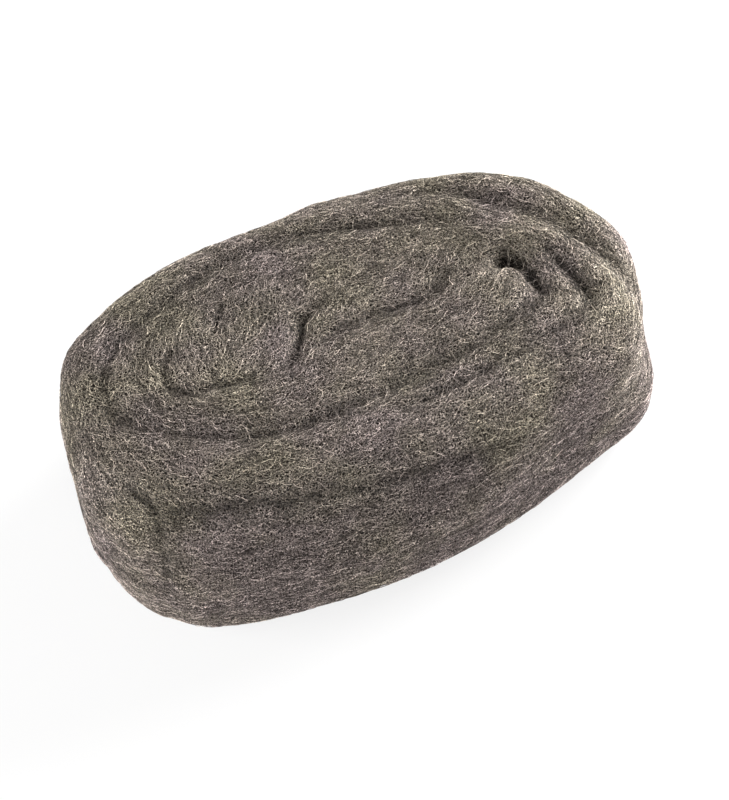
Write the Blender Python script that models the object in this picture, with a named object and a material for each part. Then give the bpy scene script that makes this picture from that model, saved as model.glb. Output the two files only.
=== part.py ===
"""A soft oval roll of steel wool ribbon, wound flat and standing on its end.

One closed solid: a wall of rings round an oval, with a soft shoulder above and a rounded edge
below, closed by a top face and a flat base. The turns and folds of the ribbon are creases that
press into the skin along smooth routes, and the edges of both faces follow them.
"""

import functools
import math
from collections import namedtuple

import bmesh
import bpy
import numpy as np
from mathutils import Vector, geometry, noise

# Overall sizes, in metres
LENGTH = 0.187
WIDTH = 0.118
RIBBON_WIDTH = 0.066  # the ribbon stands upright, so this is also the height of the roll

# The plan of the roll: a smooth closed curve through places given in shares of the half length
# and half width, counter-clockwise from the right end. The close pair on the far side is the step
# where the last turn begins.
OUTLINE = (
    (1.00, -0.04), (0.88, 0.50), (0.63, 0.84), (0.12, 0.99), (-0.05, 0.96), (-0.45, 0.94),
    (-0.80, 0.72), (-0.94, 0.47), (-0.99, -0.08), (-0.98, -0.38), (-0.82, -0.79), (-0.42, -0.96),
    (0.00, -1.00), (0.30, -0.93), (0.51, -0.83), (0.87, -0.60),
)

# The upright section of the outermost turn
SHOULDER_RADIUS = 0.0195
BASE_RADIUS = 0.0125
WALL_BULGE = 0.002

# Where the wall swells, or is pulled in: how far out it goes, how far that reaches along the
# wall and up it, and its place in shares of the half length, half width and height
Push = namedtuple("Push", "out reach rise place")

PUSHES = {
    # At the right end the fold leans out at its top, tucks in below, and spreads at its foot
    "fold_top": Push(0.0026, 0.028, 0.026, (0.98, 0.02, 1.00)),
    "fold_tuck": Push(-0.0028, 0.024, 0.026, (0.90, -0.43, 0.42)),
    "fold_foot": Push(0.0045, 0.022, 0.022, (0.90, -0.53, 0.22)),
}

# How soft wool settles: shallow hollows, longer than they are high on the wall, where they show
# the layers of the ribbon, and creases that the base presses almost shut
HOLLOW_DEPTH = 0.0015
HOLLOW_LENGTH = 0.030
HOLLOW_HEIGHT = 0.013
HOLLOW_SHIFT = 3.7
BASE_CREASE_SHARE = 0.35
CREASE_REACH = 0.020  # how far down the wall a crease runs
CREASE_SIDEWAYS = 0.6  # how much of its depth a crease presses in sideways, where the skin leans

# The mesh: points round each ring, rings over each stretch, and the spacing on the two faces
AROUND = 148
SHOULDER_RINGS = 5
WALL_RINGS = 9
EDGE_RINGS = 4
FACE_TILT = math.radians(42)  # where the top face ends and the shoulder's rings begin
TOP_SPACING = 0.0027
BASE_SPACING = 0.0050
LIP_SHARES = (0.5, 1)  # where a crease's lips get their own rows of points, in its half width
OUTLINE_POINTS = 720
STEPS_PER_PLACE = 24

# A crease is a furrow with soft lips. Its route runs through places given in shares of the half
# length and half width, as the outline's are, and fades names the ends where it thins out.
Crease = namedtuple("Crease", "depth half_width fades route")

CREASES = {
    # Between the outermost turn and the next, from the right end round the far side to the left
    "outer_turn_far": Crease(
        0.0034, 0.0046, "start",
        ((0.56, 0.24), (0.39, 0.43), (0.23, 0.52), (0.06, 0.62), (-0.18, 0.65), (-0.36, 0.61),
         (-0.54, 0.52), (-0.72, 0.34), (-0.79, 0.15)),
    ),
    # The same gap along the near side, where the turns lean on each other, up to the hole
    "outer_turn_near": Crease(
        0.0024, 0.0050, "",
        ((-0.79, 0.15), (-0.77, -0.04), (-0.65, -0.25), (-0.48, -0.40), (-0.30, -0.48),
         (-0.10, -0.50), (0.11, -0.46), (0.31, -0.42), (0.50, -0.34), (0.61, -0.27)),
    ),
    # The last turn lies over the far right shoulder and tucks in at the right end
    "last_turn": Crease(
        0.0034, 0.0070, "start",
        ((0.15, 0.74), (0.38, 0.66), (0.53, 0.57), (0.61, 0.42), (0.69, 0.31), (0.76, 0.18),
         (0.81, -0.02), (0.85, -0.18)),
    ),
    "last_turn_end": Crease(
        0.0038, 0.0048, "end",
        ((0.85, -0.18), (0.90, -0.32), (0.98, -0.44)),
    ),
    # The tuck inside the fold at the right end, and the line that it sends down the near side
    "right_tuck": Crease(
        0.0038, 0.0044, "start",
        ((0.68, 0.02), (0.71, -0.13), (0.73, -0.27), (0.74, -0.41)),
    ),
    "right_line": Crease(
        0.0018, 0.0040, "end",
        ((0.74, -0.41), (0.61, -0.49), (0.41, -0.55), (0.18, -0.60), (-0.02, -0.63)),
    ),
    # The small dark hole between two turns
    "hole": Crease(
        0.0095, 0.0044, "",
        ((0.53, 0.01), (0.57, 0.03), (0.60, -0.03)),
    ),
    "hole_tail": Crease(
        0.0052, 0.0036, "",
        ((0.60, -0.03), (0.60, -0.13), (0.61, -0.27)),
    ),
    # The innermost turn: its near side, the hook round its end, and the line inside it
    "core_near": Crease(
        0.0024, 0.0038, "start",
        ((-0.53, 0.23), (-0.59, 0.10), (-0.57, -0.03), (-0.45, -0.10), (-0.23, -0.13)),
    ),
    "core_hook": Crease(
        0.0050, 0.0034, "end",
        ((-0.23, -0.13), (-0.17, -0.03), (-0.12, 0.11), (-0.03, 0.17)),
    ),
    "core_line": Crease(
        0.0030, 0.0042, "both",
        ((-0.17, -0.10), (-0.02, -0.04), (0.12, -0.01), (0.28, -0.02), (0.38, 0.10)),
    ),
    "core_slit": Crease(
        0.0024, 0.0026, "both",
        ((-0.33, 0.40), (-0.40, 0.22)),
    ),
    # A layer showing inside the second turn, round the left end
    "left_layer": Crease(
        0.0012, 0.0038, "both",
        ((-0.18, 0.48), (-0.40, 0.45), (-0.57, 0.35), (-0.66, 0.19), (-0.67, 0.01),
         (-0.59, -0.16), (-0.44, -0.28), (-0.20, -0.35)),
    ),
}

# The crest of the turn that folds over the right end
CREST_HEIGHT = 0.0020
CREST_HALF_WIDTH = 0.0055
CREST_ROUTE = (
    (0.42, 0.30), (0.57, 0.15), (0.69, 0.08), (0.75, -0.06), (0.79, -0.22), (0.82, -0.38),
)

# The ribbon's loose end, laid flat against the wall at the near left
LOOSE_END = (-0.86, -0.74)
LOOSE_END_DEPTH = 0.0018
LOOSE_END_HALF_WIDTH = 0.0070

# The colour of dull steel fibres seen from a step away
WOOL_COLOR = (0.153, 0.132, 0.114, 1.0)
WOOL_ROUGHNESS = 0.62
WOOL_METALLIC = 0.55

# Places and points nearer than this are one
SAME_PLACE = 1e-6


def clear_scene():
    for thing in list(bpy.data.objects):
        bpy.data.objects.remove(thing, do_unlink=True)


def wool_material():
    material = bpy.data.materials.new("steel_wool")
    material.use_nodes = True
    shader = material.node_tree.nodes["Principled BSDF"]
    shader.inputs["Base Color"].default_value = WOOL_COLOR
    shader.inputs["Roughness"].default_value = WOOL_ROUGHNESS
    shader.inputs["Metallic"].default_value = WOOL_METALLIC
    material.diffuse_color = WOOL_COLOR
    return material


def full_size(shares):
    """Places in metres, from shares of the half length and half width."""
    return np.array(shares) * (LENGTH / 2, WIDTH / 2)


def curve_through(knots):
    """A smooth curve from the second knot to the last but one."""
    step = np.arange(STEPS_PER_PLACE)[:, None] / STEPS_PER_PLACE
    curve = []
    for a, b, c, d in zip(knots, knots[1:], knots[2:], knots[3:]):
        bend = a - 2.5 * b + 2 * c - d / 2
        twist = 1.5 * (b - c) + (d - a) / 2
        curve.append(b + step * (c - a) / 2 + step**2 * bend + step**3 * twist)
    return np.vstack(curve + [knots[-2][None]])


@functools.cache
def smooth_route(route):
    """A route's curve, in metres."""
    ends = full_size(route)
    return curve_through(np.vstack((2 * ends[0] - ends[1], ends, 2 * ends[-1] - ends[-2])))


@functools.cache
def outline(count):
    """Evenly spaced points round the widest outline, and the outward directions there."""
    knots = full_size(OUTLINE)
    loop = curve_through(np.vstack((knots[-1:], knots, knots[:2])))
    middle = (loop.max(axis=0) + loop.min(axis=0)) / 2
    loop = (loop - middle) / np.ptp(loop, axis=0) * (LENGTH, WIDTH)
    length = np.concatenate(([0], np.cumsum(np.linalg.norm(np.diff(loop, axis=0), axis=1))))
    places = np.arange(count) / count * length[-1]
    points = np.column_stack([np.interp(places, length, side) for side in loop.T])
    ahead = np.roll(points, -1, axis=0) - np.roll(points, 1, axis=0)
    outward = np.column_stack((ahead[:, 1], -ahead[:, 0]))
    return points, outward / np.linalg.norm(outward, axis=1)[:, None]


def depth_inside(places):
    """How far inside the widest outline each place lies, and the way out from there."""
    edge, outward = outline(OUTLINE_POINTS)
    nearest = np.linalg.norm(places[:, None] - edge[None], axis=2).argmin(axis=1)
    inside = ((edge[nearest] - places) * outward[nearest]).sum(axis=1)
    return inside, outward[nearest]


def furrow(places, route, half_width, fades):
    """How much of a furrow's depth each place has, from 0 beside it to 1 along its middle."""
    curve = smooth_route(route)
    gaps = np.linalg.norm(places[:, None] - curve[None], axis=2)
    lips = np.clip(1 - gaps.min(axis=1) / half_width, 0, 1) ** 1.5
    along = gaps.argmin(axis=1) / (len(curve) - 1)
    if fades in ("start", "both"):
        lips *= np.sin(np.clip(along / 0.3, 0, 1) * math.pi / 2)
    if fades in ("end", "both"):
        lips *= np.sin(np.clip((1 - along) / 0.3, 0, 1) * math.pi / 2)
    return lips


def creased(places):
    """How deep the creases are at each place on the top face."""
    depths = [c.depth * furrow(places, c.route, c.half_width, c.fades) for c in CREASES.values()]
    return np.max(depths, axis=0)


def crested(places):
    return CREST_HEIGHT * furrow(places, CREST_ROUTE, CREST_HALF_WIDTH, "both")


def end_step(places):
    """How deep the step at the ribbon's loose end is at each place round the wall."""
    gap = np.linalg.norm(places - full_size(LOOSE_END), axis=1)
    return LOOSE_END_DEPTH * np.clip(1 - gap / LOOSE_END_HALF_WIDTH, 0, 1) ** 1.5


def hollows(points):
    """How deep the shallow hollows are at each point."""
    places = points / (HOLLOW_LENGTH, HOLLOW_LENGTH, HOLLOW_HEIGHT) + (HOLLOW_SHIFT, 0, 0)
    lumps = [noise.noise(Vector(place)) for place in places]
    return HOLLOW_DEPTH * np.clip(0.5 + np.array(lumps), 0, 1)


def pushed(points):
    """Moves the wall out where it swells, and in where it is pulled."""
    for push in PUSHES.values():
        place = np.array(push.place) * (LENGTH / 2, WIDTH / 2, RIBBON_WIDTH)
        gap = np.linalg.norm((points - place) / (push.reach, push.reach, push.rise), axis=1)
        nearness = np.clip(1 - gap**2, 0, 1) ** 2
        outward = place[:2] / np.linalg.norm(place[:2])
        points[:, :2] += push.out * nearness[:, None] * outward
    return points


def top_skin(places):
    """Points of the top face and shoulder above these places, creases and all."""
    inside, outward = depth_inside(places)
    out = np.clip(1 - (inside - WALL_BULGE) / SHOULDER_RADIUS, 0, 1)
    up = np.sqrt(1 - out**2)
    points = np.column_stack((places, RIBBON_WIDTH - SHOULDER_RADIUS * (1 - up)))
    facing = np.column_stack((outward * out[:, None], up))
    sunk = hollows(points) + end_step(places) * out
    pressed = creased(places) - crested(places)
    points -= facing * sunk[:, None]
    points -= facing * (CREASE_SIDEWAYS, CREASE_SIDEWAYS, 1) * pressed[:, None]
    return pushed(points)


def base_skin(places):
    """Points of the flat base above these places, with its creases pressed almost shut."""
    return np.column_stack((places, BASE_CREASE_SHARE * creased(places)))


def ring_places(inset):
    """Evenly spaced places round the roll, this far inside the widest outline."""
    edge, outward = outline(AROUND)
    return edge - outward * inset


def shoulder_inset(tilt):
    return WALL_BULGE + SHOULDER_RADIUS * (1 - math.sin(tilt))


def edge_inset(tilt):
    return WALL_BULGE + BASE_RADIUS * (1 - math.cos(tilt))


def shoulder_rings():
    for ring in range(SHOULDER_RINGS):
        tilt = FACE_TILT + (math.pi / 2 - FACE_TILT) * ring / SHOULDER_RINGS
        yield top_skin(ring_places(shoulder_inset(tilt)))


def upright_ring(inset, height, softness, creasing):
    """A ring of the wall or the bottom edge. Softness and creasing are shares of full depth."""
    edge, outward = outline(AROUND)
    places = ring_places(inset)
    points = np.column_stack((places, np.full(AROUND, height)))
    sunk = softness * (hollows(points) + end_step(edge)) + creasing * creased(places)
    points[:, :2] -= outward * sunk[:, None]
    return pushed(points)


def wall_rings():
    top = RIBBON_WIDTH - SHOULDER_RADIUS
    for ring in range(WALL_RINGS):
        down = ring / WALL_RINGS
        inset = WALL_BULGE * (1 - math.sin(math.pi * down))
        height = top + (BASE_RADIUS - top) * down
        creasing = CREASE_SIDEWAYS * max(0, 1 - (top - height) / CREASE_REACH)
        yield upright_ring(inset, height, 1, creasing)


def edge_rings():
    """The rounded edge under the wall, ending on the rim of the flat base."""
    for ring in range(EDGE_RINGS + 1):
        tilt = math.pi / 2 * ring / EDGE_RINGS
        height = BASE_RADIUS * (1 - math.sin(tilt))
        yield upright_ring(edge_inset(tilt), height, math.cos(tilt), 0)


def even_places(spacing):
    """An even triangular pattern of places over the whole length and width."""
    rows, columns = int(WIDTH / spacing), int(LENGTH / spacing)
    row, column = np.mgrid[-rows : rows + 1, -columns : columns + 1]
    x = (column + row % 2 / 2) * spacing
    y = row * spacing * math.sqrt(0.75)
    return np.column_stack((x.ravel(), y.ravel()))


def beside(curve, offset):
    """The curve moved sideways."""
    ahead = np.gradient(curve, axis=0)
    sideways = np.column_stack((-ahead[:, 1], ahead[:, 0]))
    return curve + sideways / np.linalg.norm(ahead, axis=1)[:, None] * offset


def face_plan(inset, spacing, shallowest):
    """A face's places, and the lines along its creases that its edges follow."""
    places, lines = list(ring_places(inset)), []
    creases = [crease for crease in CREASES.values() if crease.depth >= shallowest]
    for crease in creases:
        last = None
        curve = smooth_route(crease.route)
        for place in curve[depth_inside(curve)[0] > inset + spacing / 2]:
            if last is not None and math.dist(place, places[last]) < 0.85 * spacing:
                continue
            gaps = np.linalg.norm(np.array(places) - place, axis=1)
            number = int(gaps.argmin())
            if gaps[number] > 0.45 * spacing:
                number = len(places)
                places.append(place)
            if last is not None and number != last:
                lines.append((last, number))
            last = number
    lips = [
        beside(smooth_route(crease.route), side * share * crease.half_width)
        for crease in creases for share in LIP_SHARES for side in (-1, 1)
    ]
    extra = np.vstack(lips + [even_places(spacing)])
    extra = extra[depth_inside(extra)[0] > inset + 0.6 * spacing]
    for place in extra:
        gaps = np.linalg.norm(np.array(places) - place, axis=1)
        if gaps.min() > 0.72 * spacing:
            places.append(place)
    return places, lines


def add_face(mesh, inset, ring, spacing, shallowest, skin):
    """Fills a ring with triangles whose edges follow the creases, and lays them on the skin."""
    places, lines = face_plan(inset, spacing, shallowest)
    loop = list(range(AROUND))
    filled = geometry.delaunay_2d_cdt(
        [Vector(place) for place in places], lines, [loop], 1, SAME_PLACE
    )
    plan = np.array(filled[0])
    points = skin(plan)
    gaps = np.linalg.norm(plan[:, None] - ring_places(inset)[None], axis=2)
    on_ring = gaps.min(axis=1) < SAME_PLACE
    points[on_ring] = ring[gaps.argmin(axis=1)[on_ring]]
    corners = [mesh.verts.new(point) for point in points]
    for triangle in filled[2]:
        mesh.faces.new([corners[number] for number in triangle])


def skin_mesh():
    mesh = bmesh.new()
    rings = [*shoulder_rings(), *wall_rings(), *edge_rings()]
    rows = [[mesh.verts.new(point) for point in ring] for ring in rings]
    for upper, lower in zip(rows, rows[1:]):
        for number in range(AROUND):
            after = (number + 1) % AROUND
            mesh.faces.new((upper[number], lower[number], lower[after], upper[after]))
    add_face(mesh, shoulder_inset(FACE_TILT), rings[0], TOP_SPACING, 0, top_skin)
    add_face(mesh, edge_inset(math.pi / 2), rings[-1], BASE_SPACING, 0.004, base_skin)
    bmesh.ops.remove_doubles(mesh, verts=mesh.verts, dist=SAME_PLACE)
    bmesh.ops.recalc_face_normals(mesh, faces=mesh.faces)
    corners = np.array([corner.co for corner in mesh.verts])
    middle = (corners.max(axis=0) + corners.min(axis=0)) / 2
    bmesh.ops.translate(mesh, verts=mesh.verts, vec=(-middle[0], -middle[1], 0))
    data = bpy.data.meshes.new("roll")
    mesh.to_mesh(data)
    mesh.free()
    data.shade_smooth()
    return data


def build():
    clear_scene()
    roll = bpy.data.objects.new("roll", skin_mesh())
    roll.data.materials.append(wool_material())
    bpy.context.scene.collection.objects.link(roll)


build()
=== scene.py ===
"""The looks of a wound steel wool roll: a skin of matted fibres with loose strands over it.

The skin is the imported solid, remeshed evenly, softened, and given finer folds, layers and lumps.
The strands are thin closed tubes, and all but a few follow the way the ribbon is wound. Lengths
are in metres.
"""

import math
from collections import namedtuple

import bpy
import numpy as np
from mathutils import Matrix, Vector, noise
from mathutils.bvhtree import BVHTree


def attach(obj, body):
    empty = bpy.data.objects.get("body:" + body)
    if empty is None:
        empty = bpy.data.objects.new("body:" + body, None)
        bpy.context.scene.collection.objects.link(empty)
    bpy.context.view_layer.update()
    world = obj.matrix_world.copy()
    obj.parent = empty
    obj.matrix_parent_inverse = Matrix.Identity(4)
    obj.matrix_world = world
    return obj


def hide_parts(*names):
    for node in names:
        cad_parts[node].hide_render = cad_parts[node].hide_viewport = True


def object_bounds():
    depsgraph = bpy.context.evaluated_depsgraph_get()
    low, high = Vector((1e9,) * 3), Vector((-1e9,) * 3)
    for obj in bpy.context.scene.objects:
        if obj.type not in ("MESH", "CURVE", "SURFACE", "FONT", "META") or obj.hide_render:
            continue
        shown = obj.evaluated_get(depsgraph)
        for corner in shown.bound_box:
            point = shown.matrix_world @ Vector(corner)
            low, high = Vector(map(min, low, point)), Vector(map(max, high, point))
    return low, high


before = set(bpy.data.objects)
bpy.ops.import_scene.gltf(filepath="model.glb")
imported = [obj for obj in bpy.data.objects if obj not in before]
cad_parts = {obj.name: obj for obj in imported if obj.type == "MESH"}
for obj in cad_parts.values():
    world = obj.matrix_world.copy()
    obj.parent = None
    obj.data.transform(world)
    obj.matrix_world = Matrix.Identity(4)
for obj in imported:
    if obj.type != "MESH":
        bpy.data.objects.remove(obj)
cad_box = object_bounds()
LOW, HIGH = (np.array(corner) for corner in cad_box)
HALF = (HIGH - LOW)[:2] / 2
HEIGHT = HIGH[2]

SEED = 11

# The photograph's size in pixels, and the camera that was fitted to the roll's outline in it
IMAGE_WIDTH, IMAGE_HEIGHT = 729, 800
AZIMUTH = math.radians(-11.59)
ELEVATION = math.radians(54.0)
ROLL_ANGLE = math.radians(-11.51)
DISTANCE = 0.662
TARGET = Vector((-0.0057, 0.0007, 0.033))
FOCAL_PIXELS = 2158.0
CENTRE_PIXEL = (338.87, 388.44)
SENSOR_MM = 36.0

# Folds, mostly between the turns and mostly in the solid too. Each has the extra depth and half
# width of its sharp bottom, how dark the painted shade of its gap is and how far that painted shade
# reaches to each side, and its route in shares of the half length, half width and, on the wall,
# height
Fold = namedtuple("Fold", "depth half_width dark reach route")

FOLDS = {
    "outer_turn_far": Fold(0.0004, 0.0018, 0.26, 0.0062, (
        (0.56, 0.24), (0.39, 0.43), (0.23, 0.52), (0.06, 0.62), (-0.18, 0.65), (-0.36, 0.61),
        (-0.54, 0.52), (-0.72, 0.34), (-0.79, 0.15), (-0.77, -0.04))),
    "outer_turn_near": Fold(0.0006, 0.0022, 0.24, 0.0058, (
        (-0.79, 0.15), (-0.77, -0.04), (-0.65, -0.25), (-0.48, -0.40), (-0.30, -0.48),
        (-0.10, -0.50), (0.11, -0.46), (0.31, -0.42), (0.50, -0.34), (0.61, -0.27))),
    "last_turn": Fold(0.0003, 0.0020, 0.16, 0.0050, (
        (0.15, 0.74), (0.38, 0.66), (0.53, 0.57), (0.61, 0.42), (0.69, 0.31), (0.76, 0.18),
        (0.81, -0.02), (0.85, -0.18), (0.90, -0.32))),
    "right_tuck": Fold(0.0008, 0.0018, 0.48, 0.0026, (
        (0.68, 0.02), (0.71, -0.13), (0.73, -0.27), (0.74, -0.41))),
    "right_line": Fold(0.0008, 0.0020, 0.28, 0.0040, (
        (0.74, -0.41), (0.61, -0.49), (0.41, -0.55), (0.18, -0.60), (-0.02, -0.63))),
    "hole": Fold(0.0008, 0.0020, 0.76, 0.0027, (
        (0.53, 0.01), (0.57, 0.03), (0.60, -0.03), (0.60, -0.13), (0.61, -0.27))),
    "core_near": Fold(0.0009, 0.0018, 0.26, 0.0034, (
        (-0.53, 0.23), (-0.59, 0.10), (-0.57, -0.03), (-0.45, -0.10), (-0.23, -0.13))),
    "core_hook": Fold(0.0009, 0.0014, 0.46, 0.0022, (
        (-0.23, -0.13), (-0.17, -0.03), (-0.12, 0.11), (-0.03, 0.17))),
    "core_line": Fold(0.0006, 0.0018, 0.30, 0.0030, (
        (-0.17, -0.10), (-0.02, -0.04), (0.12, -0.01), (0.28, -0.02), (0.38, 0.10))),
    "core_slit": Fold(0.0012, 0.0012, 0.50, 0.0016, (
        (-0.33, 0.40), (-0.40, 0.22))),
    "left_layer": Fold(0.0004, 0.0020, 0.14, 0.0036, (
        (-0.18, 0.48), (-0.40, 0.45), (-0.57, 0.35), (-0.66, 0.19), (-0.67, 0.01),
        (-0.59, -0.16), (-0.44, -0.28), (-0.20, -0.35))),
    "rim": Fold(0.0010, 0.0028, 0.38, 0.0075, (
        (-0.78, -0.58, 0.93), (-0.71, -0.67, 0.92), (-0.53, -0.77, 0.90), (-0.36, -0.85, 0.89),
        (-0.11, -0.90, 0.85), (0.21, -0.90, 0.78), (0.39, -0.85, 0.67))),
    "loose_end": Fold(0.0012, 0.0022, 0.44, 0.0050, (
        (-0.84, -0.39, 0.93), (-0.78, -0.58, 0.92), (-0.77, -0.64, 0.88), (-0.78, -0.70, 0.82),
        (-0.80, -0.74, 0.66), (-0.82, -0.75, 0.40))),
}

# Routes that only steer the strands: across the innermost turn, where they lie upright in plan
COMBED = (
    ((-0.52, -0.02), (-0.47, 0.30)),
    ((-0.42, -0.04), (-0.36, 0.38)),
    ((-0.30, -0.06), (-0.22, 0.38)),
)

# Points on a smooth curve from one place of a route to the next
STEPS_PER_PLACE = 12

# The skin's evenness, and how many times it is softened
VOXEL = 0.0011
SOFTEN_STEPS = 14

# The share of a fold's length over which each end fades, where on a quarter of a sine wave the
# fade begins, and the share of the height that the folds stay above
END_FADE, END_BEGIN = 0.12, 0.15
FOLDS_ABOVE = 0.3

# The painted shade of the folds: how steeply it falls off to the sides, the most there is, and the
# mean and swing by which it varies, with the size of its patches
DARK_FALL, DARK_MOST = 2.5, 0.95
FOLD_SHADE_MEAN, FOLD_SHADE_SWING, FOLD_SHADE_SIZE = 0.9, 0.4, 0.006

# Soft lumps in the skin: size and depth of each set, and the height in which they grow from
# nothing at the base
LUMPS = ((0.014, 0.0003), (0.006, 0.00015))
LUMP_GROWTH = 0.006
# Soft layers along the wall: how long and how high one is, its depth, and how soon they end
# where the wall turns level
LAYER_SIZE = (0.060, 0.0075)
LAYER_DEPTH = 0.0004
LAYER_END = 1.4
# How much more they sink the skin than they raise it, as a share of their depth
LUMP_SINK, LAYER_SINK = 0.2, 0.4

# Shifts that keep the noises apart
FOLD_SHADE_SHIFT, LAYER_SHIFT, LUMP_SHIFT = 41.0, 7.0, 20.0

# Hollows are painted in shade and crests are painted paler. They are what more softening would fill
# or take away: its steps, the hollow that would be black, and the limits of the painted shade
CAVITY_STEPS = 30
CAVITY_BLACK = 0.0030
CAVITY_LIMITS = (-0.2, 0.6)

# The grid on which the way of the winding is worked out, in parts that save memory
GRID_STEP = 0.0025
GRID_MARGIN = 0.012
GRID_PARTS = 40
GRID_INSIDE = 1.001  # keeps a place off the grid's last row, which has no cell after it

# The grid's guides: the distance within which each pulls nearly in full, the power of the squared
# distance by which it weakens beyond, every which point of a route and of the wall is one, and
# how level the wall's normals are there
GUIDE_SOFTNESS = 0.0035
GUIDE_FALL = 1.5
ROUTE_STRIDE, WALL_STRIDE = 3, 4
WALL_LEVEL = 0.2

# Strands: how many in a piece, the points of one, its radius and length, how much it strays from
# the winding, how high it lies over the skin, the number of pieces, how much it curls from point
# to point, and the tones of the lowest and the highest, which paint the lower ones darker, as shade
# under those above
Strands = namedtuple(
    "Strands", "each points radius length stray lift pieces curl tone", defaults=(1, None, None))

# Mat strands painted darker as shade under the bright ones over them, and longer ones that lie
# loose
STRANDS = {
    "mat": Strands(
        each=6450, points=7, radius=(0.00007, 0.00010), length=(0.0044, 0.0076),
        stray=math.radians(18), lift=(0.0000, 0.0002), pieces=3, curl=math.radians(24),
        tone=(0.44, 0.76)),
    "bright": Strands(
        each=6450, points=7, radius=(0.00008, 0.00011), length=(0.0040, 0.0074),
        stray=math.radians(20), lift=(0.0001, 0.0003), curl=math.radians(26),
        tone=(1.18, 1.38)),
    "loose": Strands(
        each=1900, points=8, radius=(0.00007, 0.00010), length=(0.0050, 0.0100),
        stray=math.radians(26), lift=(0.0001, 0.0003), curl=math.radians(32),
        tone=(1.20, 1.38)),
}
# Strands that lie across the folds of the top. Their length is their reach to each side
BRIDGES = Strands(
    each=420, points=5, radius=(0.00007, 0.00010), length=(0.0015, 0.0035),
    stray=math.radians(50), lift=(-0.0003, 0.0001))
BRIDGE_WANDER = 0.0003  # how far the points between their ends stray
DROP_HEIGHT = 0.01  # over the roll, where their ends are dropped from
STRAND_SIDES = 3
ARCH = 0.0002  # the most that the middle of a strand is raised
STRAIGHTENING = 0.7  # how much of its stray turn a strand keeps from one point to the next

# How densely the underside and the wall are covered, next to the top, and the slopes, as the
# normal's Z, between which one gives way to the next
BASE_SHARE, WALL_SHARE = 0.15, 0.90
COVER_SLOPES = (-0.6, -0.4, 0.3, 0.7)

# The strands' map has a cell for each: how many to a side, the margin inside each, and the share
# of its length for each tip
UV_CELLS = 130
UV_MARGIN = 0.15
UV_TIP = 0.2

# The two tints that the wool wanders between, how many patches of them there are a metre, and
# the noise at which each is full
OLIVE_TINT = (1.00, 1.01, 0.90, 1)
PLUM_TINT = (1.01, 0.97, 1.03, 1)
TINT_SCALE = 32.0
TINT_TURN = (0.36, 0.64)
# What is added to that noise low on the wall and at its top, and the shares of the height
TINT_SHIFTS = (0.12, -0.02)
TINT_HEIGHTS = (0.3, 0.95)

# Painted glints, fine flecks of highlight and shade along a fibre: how many there are a metre, the
# noise that is darkest and brightest, and how dark and how bright they get
GLINT_SCALE = 2600.0
GLINT_TURN = (0.35, 0.65)
GLINT_RANGE = (0.20, 1.80)

# The skin's colours: its depth in painted shade, and the dullest and palest of the fibres drawn on
# it
WOOL_SHADED_DEPTH = (0.014, 0.011, 0.009, 1)
WOOL_DULL = (0.140, 0.119, 0.102, 1)
WOOL_PALE = (0.43, 0.376, 0.330, 1)

# Layers of drawn fibres, the deeper first: how many a metre, half their width as a share of the
# space between them, and where their pattern starts
NET_LAYERS = ((1000.0, 0.090, (0.0, 0.2, 0.3)), (760.0, 0.060, (0.1, 0.2, 0.3)))
NET_RISE = 0.75  # how many there are a metre upward, next to those sideways
NET_RANDOMNESS = 0.88
NET_CORE = 0.7  # the share of a fibre's width that is drawn in full
# How far the fibres swing to each side, and how many swings there are a metre
NET_CURL = 0.0005
SWIRL_SCALE = 700
# The patches of tone along the fibres: how many to a fibre's space, and the noise that is
# dullest and palest
TONE_SCALE = 1.6
TONE_TURN = (0.35, 0.65)
# The painted shadow a fibre casts on the deeper layer: what shows of that layer beside it, how many
# of its half widths off it shows in full, and how high the deeper layer is for the bump
GAP_SHADE, GAP_REACH = 0.15, 2.5
DEEPER_HEIGHT = 0.6

# Paler and darker patches of the skin: how many a metre, and their range
PATCH_SCALE = 55
PATCH_RANGE = (0.93, 1.07)

# The strands' colours, from which each takes one, and the wear along one: how many patches to a
# cell of the map, and their range
STRAND_DARK = (0.079, 0.067, 0.058, 1)
STRAND_PALE = (0.380, 0.332, 0.292, 1)
WEAR_SCALE = 1.7
WEAR_RANGE = (0.75, 1.25)

# The noise that is darkest and palest in the patches and the wear
PATCH_TURN = (0.3, 0.7)
# How rough their noise and that of the tints is, and the middle of a noise's colour
NOISE_ROUGHNESS = 0.6
NOISE_MIDDLE = (0.5, 0.5, 0.5)

# Finishes
SKIN_FINISH = {"Metallic": 0.20, "Specular IOR Level": 0.1, "Roughness": 0.6}
SKIN_BUMP = {"Strength": 0.8, "Distance": 0.0002}
STRAND_FINISH = {
    "Metallic": 0.28, "Specular IOR Level": 0.1, "Roughness": 0.5, "Sheen Weight": 0.05,
}

# The light: each lamp's place and power, the lamps' size and what they face, and the world
LAMPS = {
    "lamp_right": ((0.80, 0.20, 0.35), 25),
    "lamp_left": ((-0.85, 0.10, 0.33), 10),
    "lamp_front": ((-0.10, -1.10, 0.42), 7),
}
LAMP_SIZE = 0.6
LAMP_AIM = Vector((0, 0, 0.03))
WORLD_COLOR = (1.0, 0.99, 0.98, 1)
WORLD_STRENGTH = 0.30

# The floor
FLOOR_REACH = 3.0
FLOOR_DROP = 0.0002  # how far it is under the roll's base
FLOOR_COLOR = (0.85, 0.85, 0.85, 1)
FLOOR_ROUGHNESS = 0.9
FLOOR_WHITE = 0.8  # how much of the floor's look is plain white, and so keeps no shadow


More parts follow.
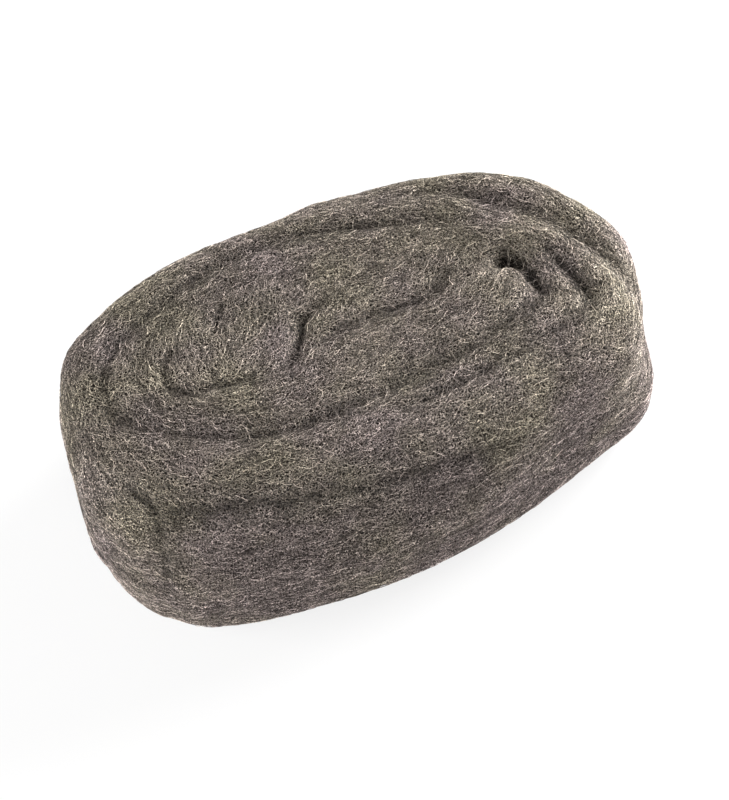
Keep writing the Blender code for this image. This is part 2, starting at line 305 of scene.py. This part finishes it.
def catmull(route):
    """A smooth (Catmull-Rom) curve through a route's places, in metres."""
    ends = np.array(route)
    ends = ends * (*HALF, HEIGHT)[:ends.shape[1]]
    knots = np.vstack((2 * ends[0] - ends[1], ends, 2 * ends[-1] - ends[-2]))
    step = np.arange(STEPS_PER_PLACE)[:, None] / STEPS_PER_PLACE
    curve = []
    for a, b, c, d in zip(knots, knots[1:], knots[2:], knots[3:]):
        bend = a - 2.5 * b + 2 * c - d / 2
        twist = 1.5 * (b - c) + (d - a) / 2
        curve.append(b + step * (c - a) / 2 + step**2 * bend + step**3 * twist)
    return np.vstack(curve + [ends[-1][None]])


def unit(vectors):
    """The vectors at length 1. One with no length stays as it is."""
    return vectors / np.maximum(np.linalg.norm(vectors, axis=-1, keepdims=True), 1e-12)


def points_of(mesh, normals=False):
    """The mesh's points or their normals, as rows."""
    rows = np.empty(len(mesh.vertices) * 3, np.float32)
    if normals:
        mesh.vertex_normals.foreach_get("vector", rows)
    else:
        mesh.vertices.foreach_get("co", rows)
    return rows.reshape(-1, 3).astype(float)


def edges_of(mesh):
    """The numbers of each edge's two points, as rows."""
    ends = np.empty(len(mesh.edges) * 2, np.int32)
    mesh.edges.foreach_get("vertices", ends)
    return ends.reshape(-1, 2)


def set_points(mesh, points):
    mesh.vertices.foreach_set("co", points.astype(np.float32).ravel())
    mesh.update()


def softened(points, edges, steps):
    """Each point moved to the mean of itself and its neighbours, again and again."""
    count = np.zeros(len(points))
    np.add.at(count, edges.ravel(), 1)
    for _ in range(steps):
        total = np.zeros_like(points)
        for side in range(3):
            total[:, side] += np.bincount(edges[:, 0], points[edges[:, 1], side], len(points))
            total[:, side] += np.bincount(edges[:, 1], points[edges[:, 0], side], len(points))
        points = (points + total) / (count[:, None] + 1)
    return points


def noise_at(points, size, shift):
    """Smooth noise from about -1 to 1 at each point."""
    shifted = points / size + shift
    return np.array([noise.noise(Vector(row)) for row in shifted])


def fold_marks(points, tree):
    """How deep the sharp bottoms of the folds are at each point, and the painted shade of their
    gaps.
    """
    sunk = np.zeros(len(points))
    dark = np.zeros(len(points))
    # Painted shade in the folds' gaps, unevenly dark along them
    uneven_shade = FOLD_SHADE_MEAN + FOLD_SHADE_SWING * noise_at(points, FOLD_SHADE_SIZE, FOLD_SHADE_SHIFT)
    for fold in FOLDS.values():
        curve = catmull(fold.route)
        axes = curve.shape[1]
        if axes == 3:
            curve = on_skin(tree, curve)[0]
        widest = max(fold.half_width, fold.reach)
        low = curve.min(axis=0) - widest
        high = curve.max(axis=0) + widest
        near = ((points[:, :axes] > low) & (points[:, :axes] < high)).all(axis=1)
        near = np.nonzero(near & (points[:, 2] > HEIGHT * FOLDS_ABOVE))[0]
        gaps = np.linalg.norm(points[near, None, :axes] - curve[None], axis=2)
        along = gaps.argmin(axis=1) / (len(curve) - 1)
        gaps = gaps.min(axis=1)
        from_end = np.clip(np.minimum(along, 1 - along) / END_FADE, END_BEGIN, 1)
        ends = np.sin(from_end * math.pi / 2)
        depth = fold.depth * ends * np.clip(1 - gaps / fold.half_width, 0, 1)
        sunk[near] = np.maximum(sunk[near], depth)
        shade = fold.dark * ends * uneven_shade[near] * np.exp(-DARK_FALL * (gaps / fold.reach) ** 2)
        dark[near] = np.maximum(dark[near], shade)
    return sunk, np.clip(dark, 0, DARK_MOST)


def tree_of(mesh):
    """For finding places on a mesh."""
    points = [Vector(point) for point in points_of(mesh)]
    return BVHTree.FromPolygons(points, [tuple(face.vertices) for face in mesh.polygons])


def set_shade(mesh, shade):
    """Keeps on the mesh the painted shade of each point: how bright it is, next to its plain
    colour.
    """
    mesh.attributes.new("shade", "FLOAT", "POINT")
    mesh.attributes["shade"].data.foreach_set("value", shade.astype(np.float32))


def skin_mesh():
    """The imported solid, remeshed evenly, softened, and given its folds, layers and lumps."""
    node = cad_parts["roll"]
    skin = bpy.data.objects.new("skin", node.data.copy())
    bpy.context.scene.collection.objects.link(skin)
    remesh = skin.modifiers.new("even", "REMESH")
    remesh.mode = "VOXEL"
    remesh.voxel_size = VOXEL
    graph = bpy.context.evaluated_depsgraph_get()
    mesh = bpy.data.meshes.new_from_object(skin.evaluated_get(graph))
    skin.modifiers.clear()
    skin.data = mesh
    edges = edges_of(mesh)
    points = softened(points_of(mesh), edges, SOFTEN_STEPS)
    set_points(mesh, points)
    normals = points_of(mesh, normals=True)
    growth = np.clip(points[:, 2] / LUMP_GROWTH, 0, 1)
    sunk, dark = fold_marks(points, tree_of(mesh))
    wall = np.clip(1 - np.abs(normals[:, 2]) * LAYER_END, 0, 1)
    layer_place = points / (LAYER_SIZE[0], LAYER_SIZE[0], LAYER_SIZE[1])
    sunk += LAYER_DEPTH * wall * (LAYER_SINK + noise_at(layer_place, 1.0, LAYER_SHIFT))
    for number, (size, depth) in enumerate(LUMPS):
        sunk += depth * (LUMP_SINK + noise_at(points, size, LUMP_SHIFT + number)) * growth
    points = points - normals * sunk[:, None]
    set_points(mesh, points)
    # Painted shade: darker in the hollows and the folds' gaps, paler on the crests
    smooth = softened(points, edges, CAVITY_STEPS)
    cavity = ((smooth - points) * normals).sum(axis=1)
    shade = (1 - dark) * (1 - np.clip(cavity / CAVITY_BLACK, *CAVITY_LIMITS))
    set_shade(mesh, shade)
    mesh.shade_smooth()
    return skin, shade


class Winding:
    """The way the ribbon lies at any place in plan, as a smooth field of directions."""

    def __init__(self, skin):
        places, ways = self.guides(skin)
        low = LOW[:2] - GRID_MARGIN
        self.low = low
        self.counts = np.ceil((HIGH[:2] + GRID_MARGIN - low) / GRID_STEP).astype(int) + 1
        x = low[0] + np.arange(self.counts[0]) * GRID_STEP
        y = low[1] + np.arange(self.counts[1]) * GRID_STEP
        grid = np.stack(np.meshgrid(x, y, indexing="ij"), axis=-1).reshape(-1, 2)
        doubled = np.column_stack((np.cos(2 * ways), np.sin(2 * ways)))
        field = np.empty_like(grid)
        for rows in np.array_split(np.arange(len(grid)), GRID_PARTS):
            gaps = ((grid[rows, None] - places[None]) ** 2).sum(axis=2)
            pull = 1 / (gaps + GUIDE_SOFTNESS**2) ** GUIDE_FALL
            field[rows] = (pull @ doubled) / pull.sum(axis=1)[:, None]
        self.field = field.reshape(*self.counts, 2)

    @staticmethod
    def guides(skin):
        """Places and directions along the folds of the top, the combed routes and the wall."""
        places, ways = [], []
        for route in [fold.route for fold in FOLDS.values()] + list(COMBED):
            if len(route[0]) == 3:
                continue
            curve = catmull(route)[::ROUTE_STRIDE]
            ahead = np.gradient(curve, axis=0)
            places.append(curve)
            ways.append(np.arctan2(ahead[:, 1], ahead[:, 0]))
        points = points_of(skin.data)
        normals = points_of(skin.data, normals=True)
        halfway = np.abs(points[:, 2] - HEIGHT / 2) < VOXEL
        wall = (np.abs(normals[:, 2]) < WALL_LEVEL) & halfway
        rows = np.nonzero(wall)[0][::WALL_STRIDE]
        places.append(points[rows, :2])
        ways.append(np.arctan2(normals[rows, 0], -normals[rows, 1]))
        return np.vstack(places), np.concatenate(ways)

    def angle(self, places):
        """The direction at each place, as an angle from +X."""
        where = (places - self.low) / GRID_STEP
        where = np.clip(where, 0, self.counts - GRID_INSIDE)
        cell = where.astype(int)
        share = where - cell
        total = np.zeros((len(places), 2))
        for i in (0, 1):
            for j in (0, 1):
                weight = np.abs(1 - i - share[:, 0]) * np.abs(1 - j - share[:, 1])
                total += self.field[cell[:, 0] + i, cell[:, 1] + j] * weight[:, None]
        return np.arctan2(total[:, 1], total[:, 0]) / 2


def skin_samples(mesh, count, rng):
    """Places spread evenly over the skin, but fewer on the wall and fewest on the underside."""
    mesh.calc_loop_triangles()
    corners = np.empty(len(mesh.loop_triangles) * 3, np.int32)
    mesh.loop_triangles.foreach_get("vertices", corners)
    corners = corners.reshape(-1, 3)
    points = points_of(mesh)
    a, b, c = (points[corners[:, side]] for side in range(3))
    cross = np.cross(b - a, c - a)
    area = np.linalg.norm(cross, axis=1)
    slope = cross[:, 2] / area
    share = np.interp(slope, COVER_SLOPES, (BASE_SHARE, WALL_SHARE, WALL_SHARE, 1))
    reached = np.cumsum(area * share)
    chosen = np.searchsorted(reached, (np.arange(count) + rng.random(count)) / count * reached[-1])
    u, v = rng.random((2, count, 1))
    flip = u + v > 1
    u, v = np.where(flip, 1 - u, u), np.where(flip, 1 - v, v)
    return a[chosen] + u * (b - a)[chosen] + v * (c - a)[chosen]


def on_skin(tree, points):
    """The nearest places on the skin, the way out there, and the face each is on."""
    hits = [tree.find_nearest(Vector(point)) for point in points]
    places, ways_out, faces, _ = zip(*hits)
    return np.array(places), np.array(ways_out), np.array(faces)


def strand_paths(kind, tree, face_shade, winding, starts, rng):
    """Paths of strands that wander over the skin, the way out at each point, and their painted
    shade.
    """
    count = len(starts)
    step = rng.uniform(*kind.length, count) / (kind.points - 1)
    turn = rng.normal(0, kind.stray, count)
    lift = rng.uniform(*kind.lift, count)
    arch = rng.uniform(0, ARCH, count)
    points, ways_out, faces = on_skin(tree, starts)
    # Painted shade: the skin's shade where a strand starts, and darker the lower it lies
    tones = face_shade[faces] * np.interp(lift, kind.lift, kind.tone)
    path, outs = [], []
    for number in range(kind.points):
        done = number / (kind.points - 1)
        raised = lift + arch * math.sin(math.pi * done)
        path.append(points + ways_out * raised[:, None])
        outs.append(ways_out)
        angle = winding.angle(points[:, :2])
        flat = np.column_stack((np.cos(angle), np.sin(angle), np.zeros(count)))
        ahead = unit(flat - ways_out * (flat * ways_out).sum(axis=1)[:, None])
        across = np.cross(ways_out, ahead)
        heading = ahead * np.cos(turn)[:, None] + across * np.sin(turn)[:, None]
        points, ways_out, faces = on_skin(tree, points + heading * step[:, None])
        turn = STRAIGHTENING * turn + rng.normal(0, kind.curl, count)
    return np.stack(path, axis=1), np.stack(outs, axis=1), tones


def bridge_paths(kind, tree, face_shade, rng):
    """Paths of strands that lie across the folds of the top, from one edge to the other."""
    curves = [catmull(fold.route) for fold in FOLDS.values() if len(fold.route[0]) == 2]
    lengths = np.array([len(curve) for curve in curves])
    ends = []
    for curve, count in zip(curves, kind.each * lengths / lengths.sum()):
        count = int(count)
        ahead = unit(np.gradient(curve, axis=0))
        row = rng.integers(0, len(curve), count)
        turn = rng.normal(math.pi / 2, kind.stray, count)[:, None]
        across = np.column_stack((-ahead[row, 1], ahead[row, 0]))
        way = ahead[row] * np.cos(turn) + across * np.sin(turn)
        near, far = (rng.uniform(*kind.length, (count, 1)) for _ in range(2))
        ends.append(np.stack((curve[row] - near * way, curve[row] + far * way), axis=1))
    ends = np.concatenate(ends)
    count = len(ends)
    top = np.full((count, 2, 1), HEIGHT + DROP_HEIGHT)
    above = np.concatenate((ends, top), axis=2).reshape(-1, 3)
    hits = [tree.ray_cast(Vector(point), Vector((0, 0, -1))) for point in above]
    places = np.array([hit[0] for hit in hits]).reshape(count, 2, 3)
    # Painted shade: the paler of the skin's shades at the two ends
    tones = face_shade[[hit[2] for hit in hits]].reshape(count, 2).max(axis=1)
    share = np.linspace(0, 1, kind.points)[None, :, None]
    path = places[:, :1] * (1 - share) + places[:, 1:] * share
    path[:, 1:-1] += rng.normal(0, BRIDGE_WANDER, (count, kind.points - 2, 3))
    path[:, :, 2] += rng.uniform(*kind.lift, (count, 1))
    outs = np.zeros_like(path)
    outs[:, :, 2] = 1
    return path, outs, tones


def strand_mesh(name, kind, path, outs, rng):
    """Thin closed strands along the paths, pointed at both ends, as one mesh with its map.

    The second value is how many points each strand has.
    """
    count, rings = len(path), kind.points - 2
    ahead = unit(np.gradient(path, axis=1))
    side = unit(np.cross(outs, ahead))
    out = np.cross(ahead, side)
    radius = rng.uniform(*kind.radius, count)[:, None, None, None]
    angles = 2 * math.pi * np.arange(STRAND_SIDES) / STRAND_SIDES + math.pi / 2
    ring = np.cos(angles)[:, None] * side[:, :, None] + np.sin(angles)[:, None] * out[:, :, None]
    body = (path[:, :, None] + radius * ring)[:, 1:-1].reshape(count, -1, 3)
    verts = np.concatenate((body, path[:, [0]], path[:, [-1]]), axis=1)
    each = verts.shape[1]
    verts = verts.reshape(-1, 3)
    verts[:, 2] = np.maximum(verts[:, 2], 0)
    first, last = rings * STRAND_SIDES, rings * STRAND_SIDES + 1
    end = (rings - 1) * STRAND_SIDES
    body_share = 1 - 2 * UV_TIP
    quads, tips, quad_cells, tip_cells = [], [], [], []
    for corner in range(STRAND_SIDES):
        after = (corner + 1) % STRAND_SIDES
        low, high = corner / STRAND_SIDES, (corner + 1) / STRAND_SIDES
        tips.append((first, after, corner))
        tip_cells.append(((0, low), (UV_TIP, high), (UV_TIP, low)))
        tips.append((last, end + corner, end + after))
        tip_cells.append(((1, high), (1 - UV_TIP, low), (1 - UV_TIP, high)))
        for number in range(rings - 1):
            near, far = number * STRAND_SIDES, (number + 1) * STRAND_SIDES
            start = UV_TIP + body_share * number / (rings - 1)
            stop = UV_TIP + body_share * (number + 1) / (rings - 1)
            quads.append((near + corner, near + after, far + after, far + corner))
            quad_cells.append(((start, low), (start, high), (stop, high), (stop, low)))
    faces, corners = [], []
    strand = np.arange(count)
    cell = np.column_stack((strand % UV_CELLS, strand // UV_CELLS)).astype(float)
    for shape, cells in ((quads, quad_cells), (tips, tip_cells)):
        shape = np.array(shape)[None] + each * strand[:, None, None]
        faces += shape.reshape(-1, shape.shape[2]).tolist()
        inner = UV_MARGIN + (1 - 2 * UV_MARGIN) * np.array(cells).reshape(-1, 2)
        corners.append((cell[:, None] + inner[None]).reshape(-1, 2) / UV_CELLS)
    mesh = bpy.data.meshes.new(name)
    mesh.from_pydata(verts.tolist(), [], faces)
    layer = mesh.uv_layers.new(name="OFBake")
    layer.data.foreach_set("uv", np.vstack(corners).astype(np.float32).ravel())
    mesh.shade_smooth()
    return mesh, each


class Nodes:
    """Short calls for building a material's nodes."""

    def __init__(self, name, finish):
        self.material = bpy.data.materials.new(name)
        self.material.use_nodes = True
        self.tree = self.material.node_tree
        self.shader = self.tree.nodes["Principled BSDF"]
        self.set(self.shader, finish)

    def add(self, kind, **values):
        node = self.tree.nodes.new(kind)
        for key, value in values.items():
            setattr(node, key, value)
        return node

    def set(self, node, values):
        """Sets plain values on a node's inputs."""
        for name, value in values.items():
            node.inputs[name].default_value = value

    def put(self, node, name, value):
        """Gives an input a plain value or another node's output."""
        if isinstance(value, bpy.types.NodeSocket):
            self.tree.links.new(value, node.inputs[name])
        else:
            node.inputs[name].default_value = value

    def math(self, operation, *values):
        node = self.add("ShaderNodeMath", operation=operation)
        for number, value in enumerate(values):
            self.put(node, number, value)
        return node.outputs[0]

    def vector_math(self, operation, *values):
        node = self.add("ShaderNodeVectorMath", operation=operation)
        for number, value in enumerate(values):
            self.put(node, number, value)
        return node.outputs[0]

    def spread(self, value, start, end, low=0.0, high=1.0):
        """The value taken from start..end to low..high, and kept within them."""
        node = self.add("ShaderNodeMapRange")
        for name, given in zip(
            ("Value", "From Min", "From Max", "To Min", "To Max"),
            (value, start, end, low, high),
        ):
            self.put(node, name, given)
        return node.outputs[0]

    def noise(self, vector, scale, detail=2.0, roughness=0.5, output="Fac"):
        node = self.add("ShaderNodeTexNoise")
        for name, given in (
            ("Vector", vector), ("Scale", scale), ("Detail", detail), ("Roughness", roughness),
        ):
            self.put(node, name, given)
        return node.outputs[output]

    def moved(self, vector, scale, place):
        node = self.add("ShaderNodeMapping")
        self.put(node, "Vector", vector)
        self.set(node, {"Scale": scale, "Location": place})
        return node.outputs[0]

    def mix(self, share, first, second):
        """One colour at a share of 0, the other at 1. The node has its colours on 6, 7 and 2."""
        node = self.add("ShaderNodeMix", data_type="RGBA")
        self.put(node, 0, share)
        self.put(node, 6, first)
        self.put(node, 7, second)
        return node.outputs[2]

    def scaled(self, color, share):
        node = self.add("ShaderNodeVectorMath", operation="SCALE")
        self.put(node, 0, color)
        self.put(node, "Scale", share)
        return node.outputs[0]

    def place(self):
        """The place on the object, in metres."""
        return self.add("ShaderNodeTexCoord").outputs["Object"]

    def shaded(self, variation, start_end, low_high):
        """A variation spread to its range, times the painted shade kept on the mesh."""
        kept = self.add("ShaderNodeAttribute", attribute_name="shade").outputs["Fac"]
        return self.math("MULTIPLY", self.spread(variation, *start_end, *low_high), kept)

    def tinted(self, color):
        """The colour, wandering between two tints and nearer to the second low on the wall."""
        place = self.place()
        wander = self.noise(place, TINT_SCALE, detail=3.0, roughness=NOISE_ROUGHNESS)
        parts = self.add("ShaderNodeSeparateXYZ")
        self.put(parts, 0, place)
        start, end = (share * HEIGHT for share in TINT_HEIGHTS)
        shift = self.spread(parts.outputs["Z"], start, end, *TINT_SHIFTS)
        share = self.spread(self.math("ADD", wander, shift), *TINT_TURN)
        return self.vector_math("MULTIPLY", color, self.mix(share, OLIVE_TINT, PLUM_TINT))

    def glinted(self, color):
        """The colour with painted glints, fine flecks of highlight and shade along a fibre."""
        glint_noise = self.noise(self.place(), GLINT_SCALE, detail=0.0)
        return self.scaled(color, self.spread(glint_noise, *GLINT_TURN, *GLINT_RANGE))


def skin_material():
    """The mat's depth in painted shade, with layers of fine curly fibres drawn on it."""
    nodes = Nodes("wool_skin", SKIN_FINISH)
    place = nodes.place()
    swirl = nodes.noise(place, SWIRL_SCALE, detail=1.0, output="Color")
    swirl = nodes.vector_math("SUBTRACT", swirl, NOISE_MIDDLE)
    curled = nodes.vector_math("MULTIPLY_ADD", swirl, (2 * NET_CURL,) * 3, place)
    # Start from the painted shade of the mat's depth
    color = WOOL_SHADED_DEPTH
    height = 0.0
    for number, (scale, width, start) in enumerate(NET_LAYERS):
        moved = nodes.moved(curled, (1, 1, NET_RISE), start)
        net = nodes.add("ShaderNodeTexVoronoi", feature="DISTANCE_TO_EDGE")
        nodes.put(net, "Vector", moved)
        nodes.set(net, {"Scale": scale, "Randomness": NET_RANDOMNESS})
        off = net.outputs["Distance"]
        line = nodes.spread(off, NET_CORE * width, width, 1.0, 0.0)
        tone = nodes.noise(moved, TONE_SCALE * scale, detail=1.0)
        fibre = nodes.mix(nodes.spread(tone, *TONE_TURN), WOOL_DULL, WOOL_PALE)
        if number:
            # Painted shadow of this layer's fibres on the one under them
            color = nodes.scaled(color, nodes.spread(off, width, GAP_REACH * width, GAP_SHADE, 1.0))
        color = nodes.mix(line, color, fibre)
        height = nodes.math("MAXIMUM", nodes.math("MULTIPLY", height, DEEPER_HEIGHT), line)
    patches = nodes.noise(place, PATCH_SCALE, detail=3.0, roughness=NOISE_ROUGHNESS)
    shade = nodes.shaded(patches, PATCH_TURN, PATCH_RANGE)
    nodes.put(nodes.shader, "Base Color", nodes.glinted(nodes.tinted(nodes.scaled(color, shade))))
    bump = nodes.add("ShaderNodeBump")
    nodes.set(bump, SKIN_BUMP)
    nodes.put(bump, "Height", height)
    nodes.put(nodes.shader, "Normal", bump.outputs[0])
    return nodes.material


def strand_material():
    """Each strand has its own colour, chosen by its cell of the map."""
    nodes = Nodes("wool_strands", STRAND_FINISH)
    cells = nodes.scaled(nodes.add("ShaderNodeUVMap", uv_map="OFBake").outputs[0], float(UV_CELLS))
    chance = nodes.add("ShaderNodeTexWhiteNoise", noise_dimensions="2D")
    nodes.put(chance, "Vector", nodes.vector_math("FLOOR", cells))
    ramp = nodes.add("ShaderNodeValToRGB")
    ramp.color_ramp.elements[0].color = STRAND_DARK
    ramp.color_ramp.elements[1].color = STRAND_PALE
    nodes.put(ramp, "Fac", chance.outputs["Value"])
    wear = nodes.noise(cells, WEAR_SCALE, detail=2.0, roughness=NOISE_ROUGHNESS)
    color = nodes.scaled(ramp.outputs[0], nodes.shaded(wear, PATCH_TURN, WEAR_RANGE))
    nodes.put(nodes.shader, "Base Color", nodes.glinted(nodes.tinted(color)))
    return nodes.material


def dress(piece, material):
    piece.data.materials.clear()
    piece.data.materials.append(material)
    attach(piece, "root")


def add_camera():
    back = Vector((
        math.sin(AZIMUTH) * math.cos(ELEVATION),
        -math.cos(AZIMUTH) * math.cos(ELEVATION),
        math.sin(ELEVATION),
    ))
    right = Vector((0, 0, 1)).cross(back).normalized()
    up = back.cross(right)
    rolled_right = right * math.cos(ROLL_ANGLE) + up * math.sin(ROLL_ANGLE)
    rolled_up = up * math.cos(ROLL_ANGLE) - right * math.sin(ROLL_ANGLE)
    camera = bpy.data.objects.new("camera", bpy.data.cameras.new("camera"))
    bpy.context.scene.collection.objects.link(camera)
    turn = Matrix((rolled_right, rolled_up, back)).transposed()
    camera.matrix_world = Matrix.Translation(TARGET + back * DISTANCE) @ turn.to_4x4()
    camera.data.sensor_fit = "VERTICAL"
    camera.data.sensor_height = SENSOR_MM
    camera.data.lens = SENSOR_MM * FOCAL_PIXELS / IMAGE_HEIGHT
    camera.data.shift_x = (IMAGE_WIDTH / 2 - CENTRE_PIXEL[0]) / IMAGE_HEIGHT
    camera.data.shift_y = (CENTRE_PIXEL[1] - IMAGE_HEIGHT / 2) / IMAGE_HEIGHT
    bpy.context.scene.camera = camera


def add_lamp(name, place, power):
    lamp = bpy.data.objects.new(name, bpy.data.lights.new(name, "AREA"))
    lamp.data.shape = "DISK"
    lamp.data.size = LAMP_SIZE
    lamp.data.energy = power
    lamp.location = place
    lamp.rotation_euler = (LAMP_AIM - Vector(place)).to_track_quat("-Z", "Y").to_euler()
    bpy.context.scene.collection.objects.link(lamp)


def seen_ray(tree):
    """1 for the rays that show the background, also in a reflection, 0 for those that light."""
    path = tree.nodes.new("ShaderNodeLightPath")
    seen = path.outputs["Is Camera Ray"]
    for name in ("Is Glossy Ray", "Is Transmission Ray"):
        either = tree.nodes.new("ShaderNodeMath")
        either.operation = "MAXIMUM"
        tree.links.new(seen, either.inputs[0])
        tree.links.new(path.outputs[name], either.inputs[1])
        seen = either.outputs[0]
    return seen


def end_in_mix(tree, end, share, first, second):
    """Ends a node tree in a mix: the first shader at a share of 0, the second at 1."""
    both = tree.nodes.new("ShaderNodeMixShader")
    for number, source in enumerate((share, first.outputs[0], second.outputs[0])):
        tree.links.new(source, both.inputs[number])
    tree.links.new(both.outputs[0], tree.nodes[end].inputs["Surface"])


def add_world():
    world = bpy.data.worlds.new("studio")
    world.use_nodes = True
    tree = world.node_tree
    lit = tree.nodes["Background"]
    lit.inputs["Color"].default_value = WORLD_COLOR
    lit.inputs["Strength"].default_value = WORLD_STRENGTH
    white = tree.nodes.new("ShaderNodeBackground")
    white.inputs["Color"].default_value = (1, 1, 1, 1)
    end_in_mix(tree, "World Output", seen_ray(tree), lit, white)
    bpy.context.scene.world = world


def add_floor():
    mesh = bpy.data.meshes.new("floor")
    corners = [(-1, -1), (1, -1), (1, 1), (-1, 1)]
    mesh.from_pydata([(FLOOR_REACH * x, FLOOR_REACH * y, 0) for x, y in corners], [], [range(4)])
    floor = bpy.data.objects.new("floor", mesh)
    floor.location.z = -FLOOR_DROP
    material = bpy.data.materials.new("pale_floor")
    material.use_nodes = True
    tree = material.node_tree
    shader = tree.nodes["Principled BSDF"]
    shader.inputs["Base Color"].default_value = FLOOR_COLOR
    shader.inputs["Roughness"].default_value = FLOOR_ROUGHNESS
    white = tree.nodes.new("ShaderNodeEmission")
    share = tree.nodes.new("ShaderNodeMath")
    share.operation = "MULTIPLY"
    share.inputs[1].default_value = FLOOR_WHITE
    tree.links.new(seen_ray(tree), share.inputs[0])
    end_in_mix(tree, "Material Output", share.outputs[0], shader, white)
    mesh.materials.append(material)
    bpy.context.scene.collection.objects.link(floor)


def add_strands(name, kind, paths, material, rng):
    path, outs, tones = paths
    mesh, each = strand_mesh(name, kind, path, outs, rng)
    set_shade(mesh, np.repeat(tones, each))
    piece = bpy.data.objects.new(name, mesh)
    bpy.context.scene.collection.objects.link(piece)
    dress(piece, material)


def build():
    skin, shade = skin_mesh()
    winding = Winding(skin)
    dress(skin, skin_material())
    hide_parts("roll")
    tree = tree_of(skin.data)
    face_shade = np.array([shade[face.vertices[0]] for face in skin.data.polygons])
    material = strand_material()
    rng = np.random.default_rng(SEED)
    for word, kind in STRANDS.items():
        starts = skin_samples(skin.data, kind.pieces * kind.each, rng)
        for number in range(kind.pieces):
            dealt = starts[number::kind.pieces]
            paths = strand_paths(kind, tree, face_shade, winding, dealt, rng)
            add_strands(f"{word}_strands_{number + 1}", kind, paths, material, rng)
    paths = bridge_paths(BRIDGES, tree, face_shade, rng)
    add_strands("bridging_strands", BRIDGES, paths, material, rng)


build()
add_floor()
add_world()
for name, (place, power) in LAMPS.items():
    add_lamp(name, place, power)
add_camera()
bpy.context.scene.view_settings.view_transform = "Standard"
